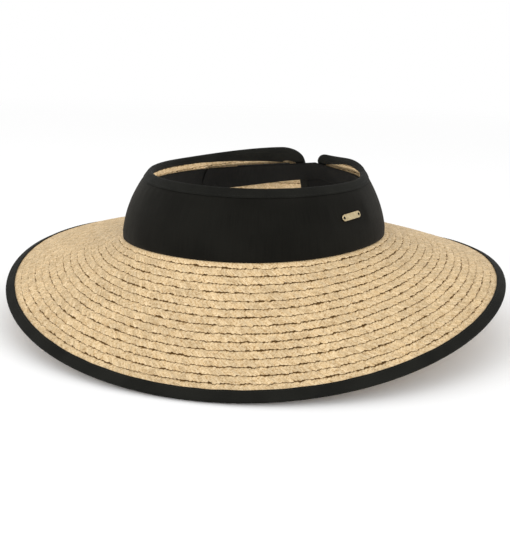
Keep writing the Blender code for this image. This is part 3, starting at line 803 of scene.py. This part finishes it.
def add_headband(material):
    """Outer cotton band, a little puckered below the binding's seam."""
    angle = stations(-SLIT_EDGE, SLIT_EDGE)[:, None]
    outline = strip_outline(np.linspace(0, 1, 25) * BAND_DRAWN, angle, HEADBAND)
    share = np.clip(outline[..., 0] / BAND_DRAWN, -BAND_LIP, 1 + BAND_LIP)
    outward = outline[..., 1] - HEADBAND / 2
    around = angle * arc_per_degree(0, 0)
    climb = share * WALL_FRONT
    below_seam = wall_top(angle) - CROWN_BINDING_OUT - climb_at(angle, share)
    soft = ripple(around, climb * 0.6, *BAND_SOFT) * ease(0, 0.006, climb)
    pucker = ripple(around, climb * 0.25, *BAND_PUCKER) * np.exp(-np.maximum(below_seam, 0) / 0.006)
    belly = BAND_BELLY * np.sin(np.pi * np.clip(share / BAND_OPEN_SHARE, 0, 1))
    push = (soft + pucker + belly) * ease(-0.001, 0.004, below_seam)
    push = push + ripple(around, climb * 0.2, *BAND_FOOT) * np.exp(-climb / 0.004)
    push = push + BAND_FULLNESS * ease(-0.0001, 0.0014, below_seam) * ease(0, 0.004, climb)
    aside = np.abs(angle - PLATE_ANGLE) * arc_per_degree(PLATE_ANGLE, 0.0)
    above = np.abs(climb - PLATE_CLIMB)
    push = push * (1 - ease(*PRESSED_LENGTH, aside) * ease(*PRESSED_HEIGHT, above))
    rings = on_wall(angle, np.clip(share, 0, 1), outward + push * ease(-HEADBAND, 0, outward))
    item = loft("cotton_headband", rings, around, outline_length(outline[0]), material)
    attach(item, "visor", "black_cotton", "headband")


def add_sweatband(material):
    """Inner band, slightly plump, with a rolled upper edge."""
    angle = stations(-SWEATBAND_END, SWEATBAND_END)[:, None]
    climb = np.linspace(WALL_FOOT, SWEATBAND_TOP, 19)
    around = angle * arc_per_degree(0, 0)
    full = np.sin(np.pi * (climb - WALL_FOOT) / (SWEATBAND_TOP - WALL_FOOT))
    plump = LINING_PLUMP * full ** 0.6 + ripple(around, climb, *LINING_SOFT) * full
    line = np.stack(np.broadcast_arrays(climb, -plump / 2), -1)
    outline = cloth_outline(line, SWEATBAND)
    outward = np.minimum(SWEATBAND_LAYER + outline[..., 1], LINING_FACE + 0.0001)
    rings = wall(angle, outline[..., 0], outward)
    item = loft("lining_sweatband", rings, around, outline_length(outline[0]), material)
    attach(item, "visor", "black_lining", "sweatband")


# --- bindings ---
def slit_path(side, foot, corner_foot, radius, steps, out_at):
    """One side of the slit and its round corner: side, angle, climb or reach, turn."""
    edge = side * SLIT_EDGE
    straight = [(side, edge, spot, 0.0) for spot in np.linspace(foot, corner_foot, steps)[:-1]]
    turn = np.linspace(0, 90, 19)
    spot = corner_foot + radius * sine(turn)
    aside = radius * (1 - cosine(turn)) / arc_per_degree(edge, out_at(edge, spot))
    corner = np.stack([side + 0 * turn, edge - side * aside, spot, turn], -1)
    return np.concatenate([straight, corner])


def whole_path(right, left, top):
    """A path up one side of the slit, round the head and down the other side."""
    ring = stations(right[-1][1], left[-1][1])[1:-1]
    round_head = np.stack([0 * ring, ring, top(ring), 90 + 0 * ring], -1)
    return np.concatenate([right, round_head, left[::-1]])


def wing_path(side):
    """Edge of one wing from the brim up."""
    radius = wing_corner(side)
    top = wall_top(side * SLIT_EDGE)
    path = slit_path(
        side, WALL_FOOT, top - radius, radius, 26, lambda angle, climb: -wall_lean(climb)
    )
    path[:, 2] += wall_top(path[:, 1]) - top
    return path


def brim_slit_path(side):
    return slit_path(
        side, FIRST_ROW_END + GAP, BRIM_WIDTH - BRIM_CORNER, BRIM_CORNER, 40,
        lambda angle, reach: brim_profile(angle, reach)[0],
    )


def folded_line(legs, layers, bend, nose, points=9):
    """Cross-section of a tape folded over an edge: depth from the edge, and height.
    legs holds the two leg lengths at each station and layers the two heights."""
    first, second = legs[:, :1], legs[:, 1:]
    share = np.linspace(0, 1, points)
    turn = np.linspace(0, 180, points)[1:-1]
    nose_depth = bend - (bend - nose) * sine(turn) + 0 * first
    nose_height = (layers[0] + layers[1]) / 2 + (layers[0] - layers[1]) / 2 * cosine(turn)
    depth = [first + (bend - first) * share, nose_depth, bend + (second - bend) * share]
    height = [np.full(points, layers[0]), nose_height, np.full(points, layers[1])]
    depth = np.concatenate(depth, axis=1)
    return np.stack(np.broadcast_arrays(depth, np.concatenate(height)), -1)


def crown_binding_point(path, depth, outward):
    side, angle, climb, turn = (path[:, n : n + 1] for n in range(4))
    aside = side * cosine(turn) * depth / arc_per_degree(angle, -wall_lean(climb))
    return wall(angle - aside, climb - sine(turn) * depth, outward)


def brim_binding_point(path, depth, lift):
    side, angle, reach, turn = (path[:, n : n + 1] for n in range(4))
    out, _ = brim_profile(angle, reach)
    aside = side * cosine(turn) * depth / arc_per_degree(angle, out)
    return brim(angle - aside, reach - sine(turn) * depth, lift)


def add_binding(name, path, point, legs, layers, thickness, bend, nose, seed, material):
    """A folded tape along a path, slightly wavy and soft."""
    along = length_along(point(path, legs[:, :1], layers[0])[:, 0])
    waves = [
        ripple(along, 0 * along, length, LEG_WAVE, seed + n)
        for n, length in enumerate(LEG_WAVE_LENGTHS)
    ]
    line = folded_line(legs + np.stack(waves, -1), layers, bend, nose)
    outline = cloth_outline(line, thickness)
    depth, height = outline[..., 0], outline[..., 1]
    soft = ripple(along[:, None], depth * 0.5, 0.016, TAPE_FULLNESS, seed + 2)
    away = np.where(height > (layers[0] + layers[1]) / 2, 1, -1)
    height = height + away * (soft + TAPE_FULLNESS) * ease(bend, bend + 0.002, depth)
    across = outline_length(outline[len(outline) // 2])
    return loft(name, point(path, depth, height), along[:, None], across, material)


# One stitch: places along it, thickness, and rise in radii, so that its ends dive into the cloth.
STITCH_PLACES = np.array([-0.5, -0.42, -0.2, 0.0, 0.2, 0.42, 0.5])
STITCH_THICKNESS = np.array([0.45, 0.85, 1.0, 1.0, 1.0, 0.85, 0.45])
STITCH_RISE = np.array([-1.0, -0.35, 0.15, 0.25, 0.15, -0.35, -1.0])
THREAD_SIDES = 8


def round_section(side, up):
    """Circle of unit vectors between two directions at every point of a thread."""
    turn = (np.arange(THREAD_SIDES) * 2 * np.pi / THREAD_SIDES)[:, None]
    return side[..., None, :] * np.cos(turn) + up[..., None, :] * np.sin(turn)


def add_stitches(name, line, outward, spacing, length, radius, material):
    """Short stitches of sewing thread along a line."""
    distance = length_along(line)
    starts = np.arange(spacing, distance[-1] - spacing, spacing)[:, None]
    where = starts + STITCH_PLACES * length
    middle, up = (
        np.stack([np.interp(where, distance, values) for values in row.T], -1)
        for row in (line, outward)
    )
    up = unit(up)
    side = np.cross(unit(np.gradient(middle, axis=1)), up)
    middle = middle + up * (STITCH_RISE * radius)[:, None]
    thick = (STITCH_THICKNESS * radius)[:, None, None]
    points = middle[:, :, None] + round_section(up, side) * thick
    quads, ends = faces_round(np.arange(points.size // 3).reshape(points.shape[:3]))
    uv = np.zeros((len(quads), 4, 2))
    return make_mesh(name, points.reshape(-1, 3), quads, ends, uv, material)


def add_seam(name, path, point, depth, layer, thickness, stitch, thread):
    """Stitches at one depth on the outer face of a binding."""
    face = layer + thickness / 2 + TAPE_FULLNESS
    depth = np.full((len(path), 1), depth)
    near, above = (point(path, depth, height)[:, 0] for height in (face, face + 0.001))
    return attach(add_stitches(name, near, above - near, *stitch, thread), "visor", "black_thread")


def inner_leg(angle, turn):
    """Depth of the crown binding's inner leg."""
    side = (angle + 180) % 360 - 180
    right = np.maximum(wall_top(angle) - CROWN_BINDING_IN_EDGE, CROWN_BINDING_IN)
    left = CROWN_BINDING_IN + np.interp(side, LEFT_LEG_SPAN, (0, LEFT_LEG_GROWTH))
    top_leg = np.where(side < 0, right, left)
    return CROWN_BINDING_SIDE + (top_leg - CROWN_BINDING_SIDE) * sine(turn) ** CORNER_LEG_POWER


def add_crown_binding(material, thread):
    path = whole_path(wing_path(-1), wing_path(1), wall_top)
    legs = np.stack([np.full(len(path), CROWN_BINDING_OUT), inner_leg(path[:, 1], path[:, 3])], -1)
    tape = add_binding(
        "crown_edge_tape", path, crown_binding_point, legs, (CROWN_TAPE_LAYER, BINDING_IN_LAYER),
        CROWN_TAPE, CROWN_TAPE_BEND, CROWN_TAPE_NOSE, 31, material,
    )
    attach(tape, "visor", "black_binding", "crown_binding")
    seam = add_seam(
        "crown_edge_stitches", path, crown_binding_point, CROWN_BINDING_OUT - CROWN_STITCH_INSET,
        CROWN_TAPE_LAYER, CROWN_TAPE, CROWN_STITCH, thread,
    )


def add_brim_binding(material, thread):
    path = whole_path(brim_slit_path(-1), brim_slit_path(1), lambda ring: BRIM_WIDTH + 0 * ring)
    legs = np.full((len(path), 2), BINDING_LEG)
    tape = add_binding(
        "brim_edge_tape", path, brim_binding_point, legs, (BRIM_TAPE_LAYER, -STRAW - GAP - TAPE / 2),
        BRIM_TAPE, BRIM_TAPE_BEND, TAPE / 2, 41, material,
    )
    attach(tape, "visor", "black_binding", "brim_binding")
    seam = add_seam(
        "brim_edge_stitches", path, brim_binding_point, BINDING_LEG - BRIM_STITCH_INSET,
        BRIM_TAPE_LAYER, BRIM_TAPE, BRIM_STITCH, thread,
    )


def add_brim_wire(material):
    angle = stations(-WIRE_END_ANGLE, WIRE_END_ANGLE, 1.5)[:, None]
    turn = np.arange(THREAD_SIDES) * 2 * np.pi / THREAD_SIDES
    reach = BRIM_WIDTH - WIRE_DEPTH + WIRE_RADIUS * np.cos(turn)
    rings = brim(angle, reach, -STRAW / 2 + WIRE_RADIUS * np.sin(turn))
    around = np.arange(THREAD_SIDES + 1) * 0.0006
    item = loft("brim_boning", rings, angle * 0.003, around, material)
    attach(item, "visor", "clear_boning", "brim_wire")


# --- closure strap ---
def strap_middle(angle):
    """Climb of the strap's middle line: up along the root, then down to the free end."""
    share = np.interp(angle, (ROOT_START_ANGLE, STRAP_HINGE_ANGLE), (0, 1))
    root = ROOT_START_CLIMB + (STRAP_START_CLIMB - ROOT_START_CLIMB) * share ** ROOT_RISE_POWER
    left = (STRAP_END_ANGLE - angle) / (STRAP_END_ANGLE - STRAP_HINGE_ANGLE)
    free = STRAP_END_CLIMB + (STRAP_START_CLIMB - STRAP_END_CLIMB) * left ** 2
    turned = ease(STRAP_HINGE_ANGLE - HINGE_SOFTNESS, STRAP_HINGE_ANGLE + HINGE_SOFTNESS, angle)
    return root + (free - root) * turned


def strap_climb(angle, share, half_width):
    """Climb of a point of the strap; share runs from -1 at its lower edge to 1 at its upper."""
    rise = STRAP_TAPER * ease(*STRAP_TAPER_SPAN, angle) * np.maximum(-share, 0)
    return strap_middle(angle) + share * half_width + rise


def strap_piece(name, start, end, half_width, layer, thickness, rounding, material):
    """A flat strip on the strap's line; rounding is the degrees cut from its lower and upper
    corners at the free end."""
    angle = stations(start, end, SHORT_STEP)[:, None]
    outline = strip_outline(np.linspace(-1, 1, 15) * half_width, angle, thickness)
    spot = np.clip(outline[..., 0] / half_width, -1, 1)
    cut = rounding[0] * (1 - np.sqrt(1 - np.clip(-spot, 0, 1) ** 2))
    cut = cut + rounding[1] * (1 - np.sqrt(1 - np.clip(spot, 0, 1) ** 6))
    bent = angle - cut * ease(0.72, 1, (angle - start) / (end - start))
    rings = wall(bent, strap_climb(bent, spot, half_width), layer + outline[..., 1])
    along = (angle - start) * arc_per_degree(180, -0.02)
    return loft(name, rings, along, outline_length(outline[0]), material)


def add_strap(materials):
    """The strap with its sewn root as one cloth that bends at the slit, and its closure."""
    strap = strap_piece(
        "webbing_strap", ROOT_START_ANGLE, STRAP_END_ANGLE, STRAP_HALF_WIDTH, STRAP_LAYER, STRAP,
        (STRAP_END_ROUNDING, STRAP_TOP_ROUNDING), materials["webbing"],
    )
    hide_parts("strap_root", "closure_strap")
    start = wall(STRAP_HINGE_ANGLE - BEND_BEFORE, STRAP_START_CLIMB, STRAP_LAYER)
    end = wall(STRAP_HINGE_ANGLE + BEND_AFTER, STRAP_START_CLIMB, STRAP_LAYER)
    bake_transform(strap)

    half_width = STRAP_HALF_WIDTH - TAPE_SIDE_INSET
    for name, body, kind, node, layer, rest in (
        ("strap_hook_strip", "strap", "hook", "strap_hook_tape", HOOK_LAYER, "webbing_strap"),
        ("wing_loop_strip", "visor", "loop", "wing_loop_tape", LOOP_LAYER, "straw_crown_row_05"),
    ):
        strip = strap_piece(
            name, *TAPE_SPAN, half_width, layer, HOOK_AND_LOOP, (0.0, 0.0), materials[kind]
        )
        attach(strip, body, f"{kind}_tape", node)


def add_underlap(material):
    """Tab that closes the crown's slit below the strap."""
    angle = stations(*UNDERLAP_SPAN, SHORT_STEP)[:, None]
    outline = strip_outline(np.linspace(*UNDERLAP_CLIMBS, 15), angle, UNDERLAP)
    rings = wall(angle, outline[..., 0], UNDERLAP_LAYER + outline[..., 1])
    along = (angle - angle[0]) * arc_per_degree(180, -0.01)
    item = loft("slit_underlap_tab", rings, along, outline_length(outline[0]), material)
    attach(item, "visor", "black_lining", "slit_underlap")


# --- name plate ---
PLATE_BEND = 0.094  # radius of the band that it lies on
PLATE_ROUND_OFF = 0.00008
PLATE_RIM = (  # outline of the rim: inset, and share of its rise
    (0.00007, 0.7), (0.00018, 1.0), (0.00034, 0.9), (0.00046, 0.3), (0.00056, 0.0),
)
# A thread's way up through a hole and over the plate's end: past the hole or end, and height.
THREAD_OVER = PLATE_THICKNESS / 2 + 0.00022
THREAD_FROM_HOLE = (
    (0.0, -0.0004), (0.0, 0.0002), (0.0003, THREAD_OVER), (0.0011, THREAD_OVER + 0.0001),
)
THREAD_PAST_END = (
    (-0.00005, THREAD_OVER - 0.00005), (0.00025, 0.0001), (0.00025, -0.0005),
)


def plate_frame():
    """The middle of the plate, with its length, height and thickness as the axes."""
    step = 0.0001
    origin, above, proud, centre = (
        Vector(wall(PLATE_ANGLE, PLATE_CLIMB + rise, outward))
        for rise, outward in ((0, 0), (step, 0), (0, step), (0, PLATE_MIDDLE_LAYER))
    )
    up = (above - origin).normalized()
    along = up.cross((proud - origin).normalized()).normalized()
    upright = Matrix((along, up, along.cross(up))).transposed().to_4x4()
    tilt = Matrix.Rotation(math.radians(PLATE_TILT), 4, "Z")
    return Matrix.Translation(centre) @ upright @ tilt


def arc_points(x, radius, start, end, count):
    turns = np.radians(np.linspace(start, end, count))
    return [(x + radius * math.cos(turn), radius * math.sin(turn)) for turn in turns]


def stadium(inset, count=20):
    radius = PLATE_HEIGHT / 2 - inset
    centre = (PLATE_LENGTH - PLATE_HEIGHT) / 2
    return arc_points(centre, radius, -90, 90, count) + arc_points(-centre, radius, 90, 270, count)


def plate_bend(x, y, z):
    """Bends the plate to the band it lies on."""
    return Vector((x, y, z - x * x / (2 * PLATE_BEND)))


def add_wall_of_loops(shape, loops):
    """Joins closed loops of points, each to the next; returns the first and last loops' edges."""
    rings = [[shape.verts.new(point) for point in loop] for loop in loops]
    for low, high in zip(rings, rings[1:]):
        for pair, above in zip(zip(low, low[1:] + low[:1]), zip(high[1:] + high[:1], high)):
            shape.faces.new((*pair, *above))
    return [
        [shape.edges.get(pair) for pair in zip(ring, ring[1:] + ring[:1])]
        for ring in (rings[0], rings[-1])
    ]


def add_plate_body(material):
    """Stadium with a raised rim and two holes: walls of loops, then flat faces between them."""
    half = PLATE_THICKNESS / 2 - PLATE_RIM_RISE
    foot = [(PLATE_ROUND_OFF, -half), (0.0, PLATE_ROUND_OFF - half), (0.0, half - PLATE_ROUND_OFF)]
    rim = foot + [(inset, half + PLATE_RIM_RISE * share) for inset, share in PLATE_RIM]
    walls = [[[(*point, z) for point in stadium(inset)] for inset, z in rim]]
    hole = PLATE_LENGTH / 2 - PLATE_HOLE_INSET
    for x in (-hole, hole):
        walls.append([
            [(*point, z) for point in arc_points(x, PLATE_HOLE_RADIUS + wider, 342, 0, 20)]
            for wider, z in foot + [(PLATE_ROUND_OFF, half)]
        ])
    shape = bmesh.new()
    for rings in zip(*(add_wall_of_loops(shape, loops) for loops in walls)):
        edges = [edge for ring in rings for edge in ring]
        bmesh.ops.triangle_fill(shape, use_beauty=True, edges=edges)
    long_edges = [edge for edge in shape.edges if edge.calc_length() > PLATE_FACE_STEP]
    bmesh.ops.subdivide_edges(shape, edges=long_edges, cuts=4)
    bmesh.ops.triangulate(shape, faces=[face for face in shape.faces if len(face.verts) > 4])
    bmesh.ops.recalc_face_normals(shape, faces=shape.faces)
    mesh = bpy.data.meshes.new("brass_plate")
    shape.to_mesh(mesh)
    shape.free()
    mesh.materials.append(material)
    layer = mesh.uv_layers.new(name="cloth")
    for loop in mesh.loops:
        layer.data[loop.index].uv = mesh.vertices[loop.vertex_index].co.xy
    for vertex in mesh.vertices:
        vertex.co = plate_bend(*vertex.co)
    mesh.transform(plate_frame())
    attach(new_object("brass_plate", mesh), "visor", "pale_gold", "name_plate")


def add_plate(materials):
    """Blank metal tab with a raised rim, sewn on through two holes."""
    add_plate_body(materials["metal"])
    route = [(PLATE_LENGTH / 2 - PLATE_HOLE_INSET + x, z) for x, z in THREAD_FROM_HOLE]
    route += [(PLATE_LENGTH / 2 + x, z) for x, z in THREAD_PAST_END]
    fine = np.linspace(0, len(route) - 1, 25)
    line = [np.interp(fine, np.arange(len(route)), values) for values in zip(*route)]
    for side, name, node in (
        (-1, "plate_stitch_front", "plate_thread_front"),
        (1, "plate_stitch_rear", "plate_thread_rear"),
    ):
        points = [plate_frame() @ plate_bend(side * x, 0.0, z) for x, z in zip(*line)]
        item = add_tube(name, np.array(points), THREAD_RADIUS, materials["thread"])
        attach(item, "visor", "black_thread", node)


def add_tube(name, line, radius, material):
    """A round thread along a line of points."""
    forward = unit(np.gradient(line, axis=0))
    side = unit(np.cross(forward, np.array(plate_frame())[:3, 1]))
    rings = line[:, None] + round_section(side, np.cross(side, forward)) * radius
    around = np.arange(THREAD_SIDES + 1) * 0.0001
    return loft(name, rings, length_along(line)[:, None], around, material)


# --- stage ---
CAMERA_AZIMUTH = 33.076
CAMERA_ELEVATION = 12.868
CAMERA_ROLL = 1.609
CAMERA_DISTANCE = 0.600
IMAGE_HEIGHT = 553
FOCAL_PIXELS = 820.8
AXIS_ABOVE_CENTRE = 49.8
SENSOR = 36.0
FLOOR_RADIUS = 2.6
FLOOR_GAP = 0.0004
FLOOR_FADE = (0.7, 2.4)  # distances between which it turns transparent
FLOOR_WHITE = (0.93, 0.93, 0.93, 1)


def add_camera():
    data = bpy.data.cameras.new("camera")
    data.sensor_width = SENSOR
    data.lens = FOCAL_PIXELS / IMAGE_HEIGHT * SENSOR
    data.shift_y = -AXIS_ABOVE_CENTRE / IMAGE_HEIGHT
    data.clip_start = 0.01
    camera = new_object("camera", data)
    turns = ((CAMERA_AZIMUTH, "Z"), (90 - CAMERA_ELEVATION, "X"), (CAMERA_ROLL, "Z"))
    place = Matrix.Identity(4)
    for angle, axis in turns:
        place = place @ Matrix.Rotation(math.radians(angle), 4, axis)
    camera.matrix_world = place @ Matrix.Translation((0, 0, CAMERA_DISTANCE))
    scene.camera = camera


def add_floor():
    """A white floor that fades into the white surroundings."""
    bpy.ops.mesh.primitive_circle_add(vertices=64, radius=FLOOR_RADIUS, fill_type="NGON")
    floor = bpy.context.object
    floor.name = "floor"
    floor.location.z = cad_box[0].z - FLOOR_GAP
    n = Nodes("floor_white")
    n.set(Base_Color=FLOOR_WHITE, Roughness=0.9, Specular_IOR_Level=0.0)
    through = n.add("ShaderNodeBsdfTransparent")
    distance = n.add("ShaderNodeVectorMath", operation="LENGTH")
    n.link(n.place(), distance.inputs[0])
    fade = n.spread(distance.outputs["Value"], *FLOOR_FADE)
    blend = n.add("ShaderNodeMixShader")
    n.put_all(blend, (fade, n.shader.outputs[0], through.outputs[0]))
    n.link(blend.outputs[0], n.tree.nodes["Material Output"].inputs["Surface"])
    floor.data.materials.append(n.material)


def add_light(name, place, size, power):
    """A round lamp that points at the origin."""
    data = bpy.data.lights.new(name, "AREA")
    data.shape = "DISK"
    data.size = size
    data.energy = power
    light = new_object(name, data)
    light.location = place
    light.rotation_euler = (-Vector(place)).to_track_quat("-Z", "Y").to_euler()
    return light


def add_studio():
    add_floor()
    world = bpy.data.worlds.new("white")
    world.use_nodes = True
    background = world.node_tree.nodes["Background"]
    background.inputs["Color"].default_value = (1, 1, 1, 1)
    background.inputs["Strength"].default_value = 1.0
    scene.world = world
    scene.view_settings.view_transform = "Standard"
    add_light("key", (-0.45, -1.6, 0.85), 1.2, 7.8)
    add_light("fill", (1.5, -0.8, 0.8), 1.4, 7.0)
    # The light that a white table throws up into the crown.
    bounce = add_light("bounce", (0.0, -0.01, -0.035), 0.11, 0.10)
    bounce.rotation_euler = (math.pi, 0.0, 0.0)
    bounce.visible_camera = False


# --- the visor ---
def make_materials():
    return {
        "straw": straw_material(),
        "cotton": cotton_material("black_cotton_cloth", BAND_BLACK, 0.00045, 0.052),
        "lining": cotton_material("black_lining_cloth", LINING_BLACK, 0.0005, 0.02, 45),
        "webbing": cotton_material("black_strap_cloth", LINING_BLACK, 0.0006, 0.02, 30),
        "binding": ribbed_material("black_tape", TAPE_BLACK, 0.0006, 0.022),
        "hook": fuzzy_material("hook_face", HOOK_BLACK, 2600.0, 0.55),
        "loop": fuzzy_material("loop_face", LOOP_BLACK, 1500.0, 0.95),
        "metal": metal_material(),
        "thread": ribbed_material("black_sewing_thread", THREAD_BLACK, 0.0003, 0.05),
        "boning": boning_material(),
    }


def build_visor():
    materials = make_materials()
    add_brim_plaits(materials["straw"])
    add_crown_plaits(materials["straw"])
    add_headband(materials["cotton"])
    add_sweatband(materials["lining"])
    add_crown_binding(materials["binding"], materials["thread"])
    add_brim_binding(materials["binding"], materials["thread"])
    add_brim_wire(materials["boning"])
    add_underlap(materials["lining"])
    add_strap(materials)
    add_plate(materials)


add_camera()
add_studio()
build_visor()
